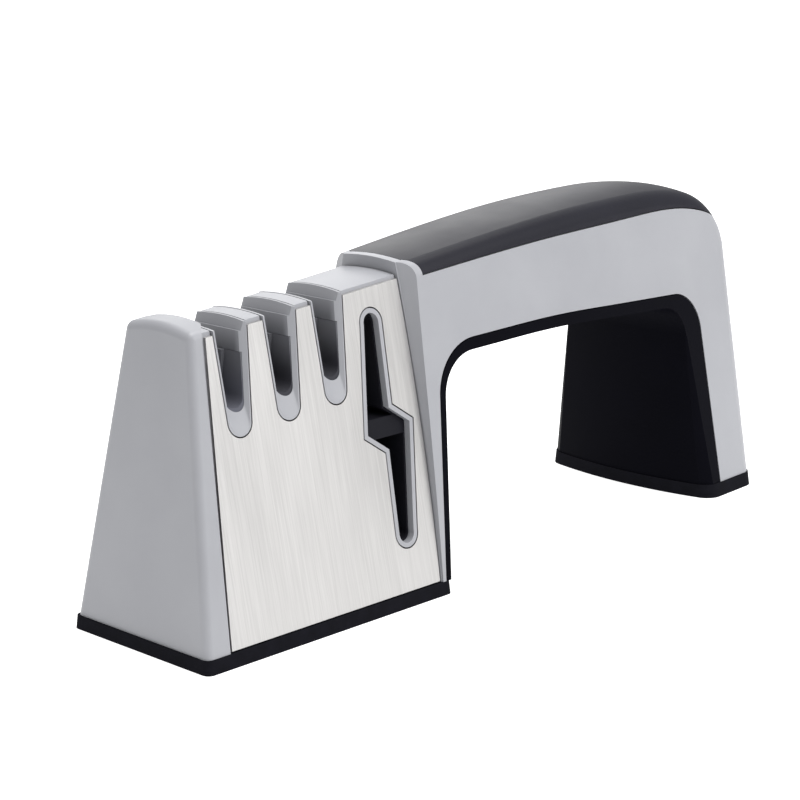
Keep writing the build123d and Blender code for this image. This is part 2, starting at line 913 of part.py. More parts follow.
def handle_outline(share, plane):
    """The whole handle from the side, lower towards the flanks."""
    crest_points = [
        (handle_x(along) - rear_crown * share, crest_z * up - crest_crown * share)
        for along, up in crest_shares
    ]
    rear_foot = (leg_rear(foot_pad_height) - rear_crown * share, foot_pad_height)
    with BuildSketch(plane) as sketch:
        with BuildLine():
            crest = Spline(*crest_points, tangents=((1, crest_start_slope_share), (0, -1)))
            arch = arch_line(0, 0, 0, leg_crown * share)
            Polyline(crest @ 1, rear_foot, arch @ 0)
            Polyline(arch @ 1, (handle_start_x, pad_height), crest @ 0)
        make_face()
    return sketch.sketch


def is_crest_edge(edge):
    """The long edges along the crest."""
    return edge.length > handle_length / 2 and edge.center().Z > crest_z * grip_seam_shares[-1][1]


def is_rear_edge(edge):
    """The upright edges at the back of the leg."""
    place = edge.center()
    return place.X > foot_screw_x and abs(place.Y) > boss_radius and place.Z > foot_pad_height + seam


with BuildPart() as handle_form:
    add(crowned(handle_outline, crest_reach))
    add(handle_block(0), mode=Mode.INTERSECT)
    outer_edges = handle_form.edges()
    fillet(outer_edges.filter_by(is_crest_edge) + outer_edges.filter_by(is_rear_edge), crest_edge_radius)
    for side in (-1, 1):
        add(leg_corner_cut(side), mode=Mode.SUBTRACT)

with BuildPart() as handle_body:
    add(handle_form.part)
    add(neck_front(0), mode=Mode.INTERSECT)
    add(neck_corner(0), mode=Mode.SUBTRACT)


def grip_region(rise, setback):
    """Everything above the grip's seam and behind the neck's rim."""
    with BuildSketch(Plane.XZ) as sketch:
        with BuildLine():
            edge = Spline(*[(handle_x(along), crest_z * up + rise) for along, up in grip_seam_shares])
            Polyline(
                edge @ 1,
                (rear_x + overrun, envelope_height + overrun),
                (handle_start_x, envelope_height + overrun),
                edge @ 0,
            )
        make_face()
    with BuildPart() as region:
        add(through(sketch.sketch))
        add(neck_front(setback), mode=Mode.INTERSECT)
        add(neck_corner(setback), mode=Mode.SUBTRACT)
    return region.part


def liner_region(grow):
    """Everything under the seam between the grey frame and the dark liner of the arch."""
    with BuildSketch(Plane.XZ) as sketch:
        with BuildLine():
            edge = arch_line(leg_front_depth + grow, liner_thickness + grow, liner_neck_depth + grow)
            Polyline(
                edge @ 1,
                (arch_foot_x - liner_neck_depth - grow, -overrun),
                (leg_foot_x + leg_front_depth + grow, -overrun),
                edge @ 0,
            )
        make_face()
    return through(sketch.sketch)


handle_screw_z = arch_ceiling_z + screw_head_height + handle_screw_recess
handle_screw_planes = [
    Plane(origin=(handle_x(share), 0, handle_screw_z), x_dir=(1, 0, 0), z_dir=(0, 0, -1))
    for share in handle_screw_shares
]

with BuildPart() as top_grip:
    add(handle_body.part)
    add(grip_region(handle_seam / 2, rim_thickness + handle_seam / 2), mode=Mode.INTERSECT)
    with BuildSketch(Plane.XY.offset(handle_boss_z)):
        with Locations(*[(handle_x(share), 0) for share in handle_screw_shares]):
            Circle(boss_radius)
    extrude(amount=crest_z * grip_boss_top_share - handle_boss_z)
    for spot in handle_screw_planes:
        add(screw_hole(spot, handle_screw_length), mode=Mode.SUBTRACT)
finish(top_grip, "top_grip")

with BuildPart() as leg_cavity:
    add(through(outline((
        (leg_foot_x + leg_face_wall, -overrun),
        (leg_foot_x + leg_face_wall, leg_cavity_z),
        (rear_x, leg_cavity_z),
        (rear_x, -overrun),
    ))))
    add(handle_block(leg_wall), mode=Mode.INTERSECT)

with BuildPart() as arch_liner:
    add(handle_body.part)
    add(liner_region(-handle_seam / 2), mode=Mode.INTERSECT)
    with BuildSketch(Plane.XY.offset(arch_ceiling_z)):
        with Locations(*[(handle_x(share), 0) for share in handle_screw_shares]):
            Circle(boss_radius)
    extrude(amount=handle_boss_z - arch_ceiling_z)
    add(leg_cavity.part, mode=Mode.SUBTRACT)
    for spot in handle_screw_planes:
        add(screw_hole(spot, handle_screw_length), mode=Mode.SUBTRACT)
finish(arch_liner, "arch_liner")

# Handle frame: one hollow moulding with the neck, both sides and the back of the leg
foot_screw_planes = [
    Plane(
        origin=(foot_screw_x, side * foot_screw_y, foot_pad_height + screw_head_height),
        x_dir=(1, 0, 0),
        z_dir=(0, 0, -1),
    )
    for side in (-1, 1)
]
cavity_rear_x = rear_x - pad_proud - frame_front_wall

with BuildPart() as frame_cavity:
    add(through(outline((
        (neck_mid_x + frame_front_wall, frame_cavity_z),
        (neck_mid_x + frame_front_wall, envelope_height),
        (rear_x - frame_shoulder_depth, envelope_height),
        (rear_x - frame_shoulder_depth, crest_z * grip_seam_shares[-3][1]),
        (cavity_rear_x, arch_ceiling_z),
        (cavity_rear_x, -overrun),
        (leg_foot_x, -overrun),
        (leg_foot_x, frame_cavity_z),
    ))))
    add(handle_block(frame_wall), mode=Mode.INTERSECT)

with BuildPart() as handle_frame:
    add(handle_body.part)
    add(grip_region(-handle_seam / 2, rim_thickness), mode=Mode.SUBTRACT)
    add(liner_region(handle_seam / 2), mode=Mode.SUBTRACT)
    add(frame_cavity.part, mode=Mode.SUBTRACT)
    with BuildSketch(Plane.XY.offset(foot_pad_height + foot_plate_thickness + clearance)):
        for side in (-1, 1):
            with Locations((foot_screw_x, side * foot_screw_y)):
                Circle(boss_radius)
                Rectangle(cavity_rear_x + seam - foot_screw_x, rib_thickness, align=(Align.MIN, Align.CENTER))
    extrude(amount=foot_boss_height - foot_pad_height)
    for spot in foot_screw_planes:
        add(screw_hole(spot, foot_screw_length), mode=Mode.SUBTRACT)
    for spot in neck_screw_planes:
        add(screw_hole(spot, neck_screw_length), mode=Mode.SUBTRACT)
finish(handle_frame, "handle_frame")

# Foot plate and foot pad under the leg
with BuildPart() as foot_plate:
    add(through(outline((
        (leg_foot_x + leg_face_wall + foot_plate_gap, foot_pad_height),
        (leg_foot_x + leg_face_wall + foot_plate_gap, foot_pad_height + foot_plate_thickness),
        (cavity_rear_x - foot_plate_gap, foot_pad_height + foot_plate_thickness),
        (cavity_rear_x - foot_plate_gap, foot_pad_height),
    ))))
    add(handle_block(leg_wall + foot_plate_gap), mode=Mode.INTERSECT)
    for spot in foot_screw_planes:
        add(screw_hole(spot, foot_screw_length), mode=Mode.SUBTRACT)
finish(foot_plate, "foot_plate")

with BuildPart() as foot_pad:
    loft([pad_plan(level).face() for level in (0, foot_pad_height)], ruled=True)
finish(foot_pad, "foot_pad")

# Screws of the handle
for name, planes, length in (
    ("handle_screws", handle_screw_planes, handle_screw_length),
    ("neck_screws", neck_screw_planes, neck_screw_length),
    ("foot_screws", foot_screw_planes, foot_screw_length),
):
    with BuildPart() as screws:
        for spot in planes:
            add(screw(spot, length))
    finish(screws, name)
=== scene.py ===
"""Looks of a pull-through sharpener for knives and scissors, with an arched handle."""
from math import radians

import bmesh
import bpy
from bpy.props import FloatProperty, FloatVectorProperty, PointerProperty
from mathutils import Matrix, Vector


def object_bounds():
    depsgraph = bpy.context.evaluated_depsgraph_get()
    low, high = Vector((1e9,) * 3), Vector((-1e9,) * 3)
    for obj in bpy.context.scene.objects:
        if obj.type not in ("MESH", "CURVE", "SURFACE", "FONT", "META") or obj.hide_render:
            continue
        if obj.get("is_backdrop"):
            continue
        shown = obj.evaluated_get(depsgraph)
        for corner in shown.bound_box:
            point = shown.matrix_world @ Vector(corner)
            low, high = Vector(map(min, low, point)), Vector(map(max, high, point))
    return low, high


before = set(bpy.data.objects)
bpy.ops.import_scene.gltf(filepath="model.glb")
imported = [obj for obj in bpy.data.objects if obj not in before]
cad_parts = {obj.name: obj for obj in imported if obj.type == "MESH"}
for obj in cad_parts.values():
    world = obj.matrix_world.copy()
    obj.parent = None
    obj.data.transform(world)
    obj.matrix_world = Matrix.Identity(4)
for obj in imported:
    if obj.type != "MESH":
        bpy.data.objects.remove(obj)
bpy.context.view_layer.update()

bl_info = {
    "name": "Pull-through Sharpener",
    "version": (1, 0, 0),
    "blender": (4, 5, 0),
    "location": "View3D > Sidebar > Sharpener",
    "description": "Finishes and studio for a pull-through sharpener",
    "category": "Object",
}

MILLIMETRE = 0.001

# Relief of the mouldings' grain, and the scales of the finer patterns, in cells per metre
GRAIN_DEPTH = 0.02 * MILLIMETRE
GRIT_DEPTH = 0.05 * MILLIMETRE
DUST_DEPTH = 0.04 * MILLIMETRE
CLOUD_SCALE = 45.0
BAND_SCALE = 60.0
BAND_STRETCH = 0.15
DUST_SCALE = 300.0
RUBBER_GRAIN_SCALE = 1800.0
HIDDEN_GRAIN_SCALE = 2200.0
PAPER_SCALE = 80.0

# How rough each finish is
GREY_ROUGHNESS = 0.42
STEEL_ROUGHNESS = 0.38
GRIP_ROUGHNESS = 0.42
LINER_ROUGHNESS = 0.5
HIDDEN_ROUGHNESS = 0.6
RUBBER_ROUGHNESS = 0.8
FLOOR_ROUGHNESS = 0.9

# How strongly each finish mirrors its surroundings, where it isn't a plain plastic's half
GRIP_GLOSS = 0.18
LINER_GLOSS = 0.02
RUBBER_GLOSS = 0.04
CARTRIDGE_GLOSS = 0.2
SCISSORS_GLOSS = 0.1

# The slots climb towards the handle, and the steel faces lean and flare
SLOT_CLIMB = 0.0665
FACE_LEAN = 0.218
FACE_FLARE = 0.04

# Where the painted shade on the slots' walls and the painted light on the cartridges go over
# from light to dark: from the inside out to the rims, and from deep in the slots up to the
# teeth
PAINTED_SHADE_REACH = (25.4 * MILLIMETRE, 27.9 * MILLIMETRE)
PAINTED_SHADE_HEIGHT = (75.5 * MILLIMETRE, 83.5 * MILLIMETRE)
PAINTED_LIGHT_HEIGHT = (66.5 * MILLIMETRE, 76.5 * MILLIMETRE)

# Places and sides of the studio's lights
KEY_LIGHT = ((0.35, -0.95, 0.75), 0.9)
TOP_LIGHT = ((0.15, 0.10, 1.0), 0.7)
BACK_LIGHT = ((0.75, 0.80, 0.50), 0.5)


# Settings that a user would change
class MouldingSettings(bpy.types.PropertyGroup):
    """Colours and grain of the silver grey mouldings."""

    light_colour: FloatVectorProperty(
        name="Light grey",
        description="Colour of the lighter grain of the grey plastic",
        subtype="COLOR",
        default=(0.305, 0.309, 0.330),
        min=0.0,
        max=1.0,
    )
    dark_colour: FloatVectorProperty(
        name="Dark grey",
        description="Colour of the darker grain of the grey plastic",
        subtype="COLOR",
        default=(0.278, 0.282, 0.303),
        min=0.0,
        max=1.0,
    )
    # Painted shade: the walls deep in the knife slots are darkened towards this colour
    painted_wall_shade_colour: FloatVectorProperty(
        name="Slot wall shade",
        description="Painted shade on the walls deep in the knife slots",
        subtype="COLOR",
        default=(0.12, 0.122, 0.135),
        min=0.0,
        max=1.0,
    )
    grain_scale: FloatProperty(
        name="Grain scale",
        description="Fineness of the moulded grain, in cells per metre",
        default=2600.0,
        min=1.0,
    )


class PlateSettings(bpy.types.PropertyGroup):
    """Colours and brushing of the steel face plates."""

    light_colour: FloatVectorProperty(
        name="Light steel",
        description="Colour of the lighter brush lines",
        subtype="COLOR",
        default=(0.575, 0.566, 0.558),
        min=0.0,
        max=1.0,
    )
    dark_colour: FloatVectorProperty(
        name="Dark steel",
        description="Colour of the darker brush lines",
        subtype="COLOR",
        default=(0.475, 0.467, 0.461),
        min=0.0,
        max=1.0,
    )
    line_scale: FloatProperty(
        name="Line scale",
        description="Brush lines per metre, across the brushing",
        default=2400.0,
        min=1.0,
    )
    line_stretch: FloatProperty(
        name="Line stretch",
        description="How much longer than wide a brush line is",
        default=60.0,
        min=1.0,
    )


class GripSettings(bpy.types.PropertyGroup):
    """Colours of the dark grip and of the arch liner under it."""

    grip_colour: FloatVectorProperty(
        name="Grip",
        description="Colour of the grip on the crest",
        subtype="COLOR",
        default=(0.008, 0.008, 0.013),
        min=0.0,
        max=1.0,
    )
    liner_colour: FloatVectorProperty(
        name="Liner",
        description="Colour of the liner inside the arch",
        subtype="COLOR",
        default=(0.0022, 0.0022, 0.0040),
        min=0.0,
        max=1.0,
    )
    grain_scale: FloatProperty(
        name="Grain scale",
        description="Fineness of the soft-touch grain, in cells per metre",
        default=3200.0,
        min=1.0,
    )


class PadSettings(bpy.types.PropertyGroup):
    """Colour of the rubber pads."""

    colour: FloatVectorProperty(
        name="Rubber",
        description="Colour of the pads under the block and the foot",
        subtype="COLOR",
        default=(0.005, 0.005, 0.007),
        min=0.0,
        max=1.0,
    )


class AbrasiveSettings(bpy.types.PropertyGroup):
    """Colours of what grinds the blades and of the cartridges that hold it."""

    cartridge_colour: FloatVectorProperty(
        name="Cartridge",
        description="Colour of the dark cartridges",
        subtype="COLOR",
        default=(0.026, 0.026, 0.032),
        min=0.0,
        max=1.0,
    )
    coarse_colour: FloatVectorProperty(
        name="Coarse cartridge",
        description="Colour of the lighter cartridge in the coarse slot",
        subtype="COLOR",
        default=(0.08, 0.082, 0.10),
        min=0.0,
        max=1.0,
    )
    # Painted light: the cartridges' upper ends are lightened towards this colour, where light
    # gets in
    painted_top_light_colour: FloatVectorProperty(
        name="Cartridge top light",
        description="Painted light on the cartridges' upper ends, as on the walls above them",
        subtype="COLOR",
        default=(0.12, 0.122, 0.135),
        min=0.0,
        max=1.0,
    )
    scissors_colour: FloatVectorProperty(
        name="Scissors cartridge",
        description="Colour of the cartridge in the scissors slot",
        subtype="COLOR",
        default=(0.007, 0.007, 0.010),
        min=0.0,
        max=1.0,
    )
    diamond_colour: FloatVectorProperty(
        name="Diamond coating",
        description="Colour of the coarse rods",
        subtype="COLOR",
        default=(0.11, 0.11, 0.12),
        min=0.0,
        max=1.0,
    )
    carbide_colour: FloatVectorProperty(
        name="Carbide",
        description="Colour of the carbide blades",
        subtype="COLOR",
        default=(0.22, 0.22, 0.235),
        min=0.0,
        max=1.0,
    )
    ceramic_colour: FloatVectorProperty(
        name="Ceramic",
        description="Colour of the ceramic rods",
        subtype="COLOR",
        default=(0.75, 0.73, 0.68),
        min=0.0,
        max=1.0,
    )


class FastenerSettings(bpy.types.PropertyGroup):
    """Colours of the screws and of the hidden plates."""

    screw_colour: FloatVectorProperty(
        name="Screws",
        description="Colour of the zinc plated screws",
        subtype="COLOR",
        default=(0.45, 0.45, 0.47),
        min=0.0,
        max=1.0,
    )
    plate_colour: FloatVectorProperty(
        name="Hidden plates",
        description="Colour of the plates that close the hollows",
        subtype="COLOR",
        default=(0.03, 0.03, 0.033),
        min=0.0,
        max=1.0,
    )


class StudioSettings(bpy.types.PropertyGroup):
    """Floor, lights and camera."""

    floor_size: FloatProperty(
        name="Floor size",
        description="Side of the square floor",
        subtype="DISTANCE",
        default=6.0,
        min=0.1,
    )
    floor_colour: FloatVectorProperty(
        name="Floor",
        description="Colour of the floor",
        subtype="COLOR",
        default=(0.55, 0.55, 0.55),
        min=0.0,
        max=1.0,
    )
    sky_strength: FloatProperty(
        name="Sky strength",
        description="Brightness of the white surroundings",
        default=0.6,
        min=0.0,
    )
    floor_glow: FloatProperty(
        name="Floor glow",
        description="Light that the floor gives off, which keeps it white under the block",
        default=0.85,
        min=0.0,
    )
    key_power: FloatProperty(
        name="Key power",
        description="Power of the large light over the steel side",
        subtype="POWER",
        default=8.5,
        min=0.0,
    )
    top_power: FloatProperty(
        name="Top power",
        description="Power of the light above the grip",
        subtype="POWER",
        default=10.0,
        min=0.0,
    )
    back_power: FloatProperty(
        name="Back power",
        description="Power of the light behind, which gives the grip its sheen",
        subtype="POWER",
        default=1.6,
        min=0.0,
    )
    camera_place: FloatVectorProperty(
        name="Camera place",
        description="Where the camera stands",
        subtype="TRANSLATION",
        default=(-0.4194, -0.3694, 0.1857),
    )
    camera_turn: FloatVectorProperty(
        name="Camera turn",
        description="How the camera is turned",
        subtype="EULER",
        default=(radians(75.5), 0.0, radians(-47.394)),
    )
    lens: FloatProperty(
        name="Lens",
        description="Focal length of the camera, in millimetres",
        default=95.88,
        min=1.0,
    )


SETTINGS = {
    "sharpener_mouldings": MouldingSettings,
    "sharpener_plates": PlateSettings,
    "sharpener_grip": GripSettings,
    "sharpener_pads": PadSettings,
    "sharpener_abrasives": AbrasiveSettings,
    "sharpener_fasteners": FastenerSettings,
    "sharpener_studio": StudioSettings,
}


# Material building blocks
def start_material(name, roughness, metallic=0.0):
    """A material whose shader has a constant roughness and metallic value."""
    material = bpy.data.materials.new(name)
    material.use_nodes = True
    shader = material.node_tree.nodes["Principled BSDF"]
    shader.inputs["Roughness"].default_value = roughness
    shader.inputs["Metallic"].default_value = metallic
    return material, material.node_tree, shader


def place_pattern(tree, scale=(1.0, 1.0, 1.0)):
    """Object coordinates, stretched."""
    coordinates = tree.nodes.new("ShaderNodeTexCoord")
    mapping = tree.nodes.new("ShaderNodeMapping")
    mapping.inputs["Scale"].default_value = scale
    tree.links.new(coordinates.outputs["Object"], mapping.inputs["Vector"])
    return mapping.outputs["Vector"]


def add_noise(tree, vector, scale, detail=3.0, roughness=0.5):
    """A noise pattern on the given coordinates."""
    noise = tree.nodes.new("ShaderNodeTexNoise")
    noise.inputs["Scale"].default_value = scale
    noise.inputs["Detail"].default_value = detail
    noise.inputs["Roughness"].default_value = roughness
    tree.links.new(vector, noise.inputs["Vector"])
    return noise.outputs["Fac"]


def to_range(tree, value, low, high, from_low=0.3, from_high=0.7, interpolation="LINEAR"):
    """A value brought into a range."""
    node = tree.nodes.new("ShaderNodeMapRange")
    node.interpolation_type = interpolation
    node.inputs["From Min"].default_value = from_low
    node.inputs["From Max"].default_value = from_high
    node.inputs["To Min"].default_value = low
    node.inputs["To Max"].default_value = high
    tree.links.new(value, node.inputs["Value"])
    return node.outputs["Result"]


def between_colours(tree, value, low, high):
    """A colour between two others."""
    ramp = tree.nodes.new("ShaderNodeValToRGB")
    ramp.color_ramp.elements[0].position = 0.3
    ramp.color_ramp.elements[0].color = (*low, 1.0)
    ramp.color_ramp.elements[1].position = 0.7
    ramp.color_ramp.elements[1].color = (*high, 1.0)
    tree.links.new(value, ramp.inputs["Fac"])
    return ramp.outputs["Color"]


def measure_along(tree, direction, mirrored=False):
    """How far a point lies along a direction. Mirrored, both sides of the part count alike."""
    vector = tree.nodes.new("ShaderNodeTexCoord").outputs["Object"]
    if mirrored:
        absolute = tree.nodes.new("ShaderNodeVectorMath")
        absolute.operation = "ABSOLUTE"
        tree.links.new(vector, absolute.inputs[0])
        vector = absolute.outputs["Vector"]
    product = tree.nodes.new("ShaderNodeVectorMath")
    product.operation = "DOT_PRODUCT"
    product.inputs[1].default_value = direction
    tree.links.new(vector, product.inputs[0])
    return product.outputs["Value"]


def slot_height(tree, heights, at_low, at_high):
    """Goes softly from one value to another between two heights in the knife slots."""
    height = measure_along(tree, (-SLOT_CLIMB, 0.0, 1.0))
    return to_range(tree, height, at_low, at_high, *heights, "SMOOTHSTEP")


def blend(tree, value, low, high):
    """A colour that goes over into another, either of which may be a pattern."""
    mix = tree.nodes.new("ShaderNodeMix")
    mix.data_type = "RGBA"
    tree.links.new(value, mix.inputs["Factor"])
    for socket, colour in ((mix.inputs[6], low), (mix.inputs[7], high)):
        if isinstance(colour, bpy.types.NodeSocket):
            tree.links.new(colour, socket)
        else:
            socket.default_value = (*colour, 1.0)
    return mix.outputs[2]


def add_bump(tree, shader, height, strength, depth):
    """Small relief on a shader."""
    bump = tree.nodes.new("ShaderNodeBump")
    bump.inputs["Strength"].default_value = strength
    bump.inputs["Distance"].default_value = depth
    tree.links.new(height, bump.inputs["Height"])
    tree.links.new(bump.outputs["Normal"], shader.inputs["Normal"])


def shaded(colour, share):
    """A colour made darker or lighter."""
    return tuple(min(1.0, part * share) for part in colour)


def grained_plastic(name, dark, light, roughness, grain_scale, gloss=0.5):
    """Moulded plastic: a fine grain in the relief and faint clouds in colour and gloss."""
    material, tree, shader = start_material(name, roughness)
    shader.inputs["Specular IOR Level"].default_value = gloss
    vector = place_pattern(tree)
    clouds = add_noise(tree, vector, CLOUD_SCALE, 4.0)
    grain = add_noise(tree, vector, grain_scale, 2.0, 0.6)
    tree.links.new(between_colours(tree, clouds, dark, light), shader.inputs["Base Color"])
    spread = roughness * 0.08
    rough = to_range(tree, clouds, roughness - spread, roughness + spread)
    tree.links.new(rough, shader.inputs["Roughness"])
    add_bump(tree, shader, grain, 0.35, GRAIN_DEPTH)
    return material


def brushed_metal(name, dark, light, line_scale, stretch, roughness):
    """Brushed steel: long upright lines in colour, gloss and relief."""
    material, tree, shader = start_material(name, roughness, 1.0)
    line_place = place_pattern(tree, (1.0, 1.0 / stretch, 1.0 / stretch))
    lines = add_noise(tree, line_place, line_scale, 4.0, 0.65)
    bands = add_noise(tree, place_pattern(tree, (1.0, 1.0, BAND_STRETCH)), BAND_SCALE, 2.0)
    tree.links.new(between_colours(tree, lines, dark, light), shader.inputs["Base Color"])
    rough = to_range(tree, bands, roughness * 0.85, roughness * 1.15)
    tree.links.new(rough, shader.inputs["Roughness"])
    add_bump(tree, shader, lines, 0.25, GRAIN_DEPTH)
    return material


def hidden_plastic(name, colour, gloss=0.5):
    """Dull dark plastic of the cartridges and of the plates that close the hollows."""
    light = shaded(colour, 1.3)
    return grained_plastic(name, colour, light, HIDDEN_ROUGHNESS, HIDDEN_GRAIN_SCALE, gloss)


def paint_shade_on_slot_walls(material, painted_shade_colour):
    """Painted shade: the inner walls of the knife slots get darker downwards, and their rims
    stay light.
    """
    tree = material.node_tree
    socket = tree.nodes["Principled BSDF"].inputs["Base Color"]
    reach = measure_along(tree, (FACE_FLARE, 1.0, FACE_LEAN), mirrored=True)
    inside = to_range(tree, reach, 1.0, 0.0, *PAINTED_SHADE_REACH, "SMOOTHSTEP")
    depth = slot_height(tree, PAINTED_SHADE_HEIGHT, 1.0, 0.0)
    # Painted shade: the walls darken where they lie both inside the rims and deep in the slot
    both = tree.nodes.new("ShaderNodeMath")
    both.operation = "MULTIPLY"
    tree.links.new(inside, both.inputs[0])
    tree.links.new(depth, both.inputs[1])
    grey = socket.links[0].from_socket
    tree.links.new(blend(tree, both.outputs["Value"], grey, painted_shade_colour), socket)


def slot_plastic_with_painted_light(name, low_colour, painted_light_colour):
    """Cartridge plastic, dark deep in a slot, with painted light that makes it lighter at the
    top where light gets in.
    """
    material = hidden_plastic(name, low_colour, CARTRIDGE_GLOSS)
    tree = material.node_tree
    socket = tree.nodes["Principled BSDF"].inputs["Base Color"]
    # Painted light: the cartridge goes over to the lighter colour towards its top
    painted_light_share = slot_height(tree, PAINTED_LIGHT_HEIGHT, 0.0, 1.0)
    low = socket.links[0].from_socket
    tree.links.new(blend(tree, painted_light_share, low, painted_light_colour), socket)
    return material


def matte_rubber(name, colour):
    """Rubber with a dusty fine grain."""
    material, tree, shader = start_material(name, RUBBER_ROUGHNESS)
    shader.inputs["Specular IOR Level"].default_value = RUBBER_GLOSS
    vector = place_pattern(tree)
    dust = add_noise(tree, vector, DUST_SCALE, 5.0)
    grain = add_noise(tree, vector, RUBBER_GRAIN_SCALE, 2.0)
    light = shaded(colour, 1.6)
    tree.links.new(between_colours(tree, dust, colour, light), shader.inputs["Base Color"])
    rough = to_range(tree, dust, RUBBER_ROUGHNESS * 0.9, RUBBER_ROUGHNESS * 1.1)
    tree.links.new(rough, shader.inputs["Roughness"])
    add_bump(tree, shader, grain, 0.4, DUST_DEPTH)
    return material


def grit_metal(name, colour, scale, roughness, metallic):
    """A metal or ceramic surface with a visible grit."""
    material, tree, shader = start_material(name, roughness, metallic)
    vector = place_pattern(tree)
    grit = add_noise(tree, vector, scale, 2.0, 0.8)
    colours = between_colours(tree, grit, shaded(colour, 0.7), shaded(colour, 1.35))
    tree.links.new(colours, shader.inputs["Base Color"])
    rough = to_range(tree, grit, roughness * 0.8, roughness * 1.2)
    tree.links.new(rough, shader.inputs["Roughness"])
    add_bump(tree, shader, grit, 0.5, GRIT_DEPTH)
    return material


def give(node, material):
    """A CAD node takes a finish."""
    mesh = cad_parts[node].data
    mesh.materials.clear()
    mesh.materials.append(material)


# Operators
class OBJECT_OT_sharpener_mouldings(bpy.types.Operator):
    """Finish the nose cap, the head cover, the slot liners and the handle frame"""

    bl_idname = "object.sharpener_mouldings"
    bl_label = "Grey Mouldings"
    bl_options = {"REGISTER", "UNDO"}

    def execute(self, context):
        settings = context.scene.sharpener_mouldings
        grey = grained_plastic(
            "silver grey plastic",
            settings.dark_colour,
            settings.light_colour,
            GREY_ROUGHNESS,
            settings.grain_scale,
        )
        for node in ("nose_cap", "head_cover", "handle_frame", "scissors_slot_liner"):
            give(node, grey)
        # The knife slot liners get a copy of the grey with painted shade deep in the slots
        rims = grey.copy()
        rims.name = "silver grey slot rims with painted shade"
        paint_shade_on_slot_walls(rims, settings.painted_wall_shade_colour)
        for node in ("coarse_slot_liner", "medium_slot_liner", "fine_slot_liner"):
            give(node, rims)
        return {"FINISHED"}


class OBJECT_OT_sharpener_plates(bpy.types.Operator):
    """Finish the brushed steel face plates"""

    bl_idname = "object.sharpener_plates"
    bl_label = "Steel Face Plates"
    bl_options = {"REGISTER", "UNDO"}

    def execute(self, context):
        settings = context.scene.sharpener_plates
        steel = brushed_metal(
            "brushed steel",
            settings.dark_colour,
            settings.light_colour,
            settings.line_scale,
            settings.line_stretch,
            STEEL_ROUGHNESS,
        )
        for node in ("front_face_plate", "rear_face_plate"):
            give(node, steel)
        return {"FINISHED"}


class OBJECT_OT_sharpener_grip(bpy.types.Operator):
    """Finish the grip and the arch liner"""

    bl_idname = "object.sharpener_grip"
    bl_label = "Grip and Arch Liner"
    bl_options = {"REGISTER", "UNDO"}

    def execute(self, context):
        settings = context.scene.sharpener_grip
        grip = grained_plastic(
            "soft black grip",
            settings.grip_colour,
            shaded(settings.grip_colour, 1.25),
            GRIP_ROUGHNESS,
            settings.grain_scale,
            GRIP_GLOSS,
        )
        liner = grained_plastic(
            "black arch liner",
            settings.liner_colour,
            shaded(settings.liner_colour, 1.3),
            LINER_ROUGHNESS,
            settings.grain_scale,
            LINER_GLOSS,
        )
        give("top_grip", grip)
        give("arch_liner", liner)
        return {"FINISHED"}


class OBJECT_OT_sharpener_pads(bpy.types.Operator):
    """Finish the rubber pads under the block and the foot"""

    bl_idname = "object.sharpener_pads"
    bl_label = "Rubber Pads"
    bl_options = {"REGISTER", "UNDO"}

    def execute(self, context):
        rubber = matte_rubber("matte rubber", context.scene.sharpener_pads.colour)
        for node in ("base_pad", "foot_pad"):
            give(node, rubber)
        return {"FINISHED"}


class OBJECT_OT_sharpener_abrasives(bpy.types.Operator):
    """Finish the cartridges, rods and blades in the slots"""

    bl_idname = "object.sharpener_abrasives"
    bl_label = "Cartridges and Abrasives"
    bl_options = {"REGISTER", "UNDO"}

    def execute(self, context):
        settings = context.scene.sharpener_abrasives
        # All three knife cartridges get painted light at their tops
        top = settings.painted_top_light_colour
        coarse = slot_plastic_with_painted_light("coarse cartridge plastic with painted light", settings.coarse_colour, top)
        dark = slot_plastic_with_painted_light("dark cartridge plastic with painted light", settings.cartridge_colour, top)
        black = hidden_plastic(
            "black scissors cartridge plastic", settings.scissors_colour, SCISSORS_GLOSS
        )
        diamond = grit_metal("diamond coating", settings.diamond_colour, 5200.0, 0.45, 0.8)
        carbide = grit_metal("ground carbide", settings.carbide_colour, 1800.0, 0.3, 1.0)
        ceramic = grit_metal("white ceramic", settings.ceramic_colour, 2600.0, 0.55, 0.0)
        finishes = (
            (coarse, ("coarse_cartridge",)),
            (dark, ("medium_cartridge", "fine_cartridge")),
            (black, ("scissors_cartridge",)),
            (diamond, ("diamond_rod_front", "diamond_rod_rear")),
            (carbide, ("carbide_blade_front", "carbide_blade_rear")),
            (ceramic, ("ceramic_rod_front", "ceramic_rod_rear")),
            (ceramic, ("scissors_ceramic_rod_upper", "scissors_ceramic_rod_lower")),
        )
        for material, nodes in finishes:
            for node in nodes:
                give(node, material)
        return {"FINISHED"}


class OBJECT_OT_sharpener_fasteners(bpy.types.Operator):
    """Finish the screws and the plates that close the hollows"""

    bl_idname = "object.sharpener_fasteners"
    bl_label = "Screws and Hidden Plates"
    bl_options = {"REGISTER", "UNDO"}

    def execute(self, context):
        settings = context.scene.sharpener_fasteners
        zinc = grit_metal("zinc plated steel", settings.screw_colour, 900.0, 0.35, 1.0)
        hidden = hidden_plastic("black plate plastic", settings.plate_colour)
        for node in ("base_screws", "handle_screws", "neck_screws", "foot_screws"):
            give(node, zinc)
        for node in ("base_plate", "foot_plate"):
            give(node, hidden)
        return {"FINISHED"}


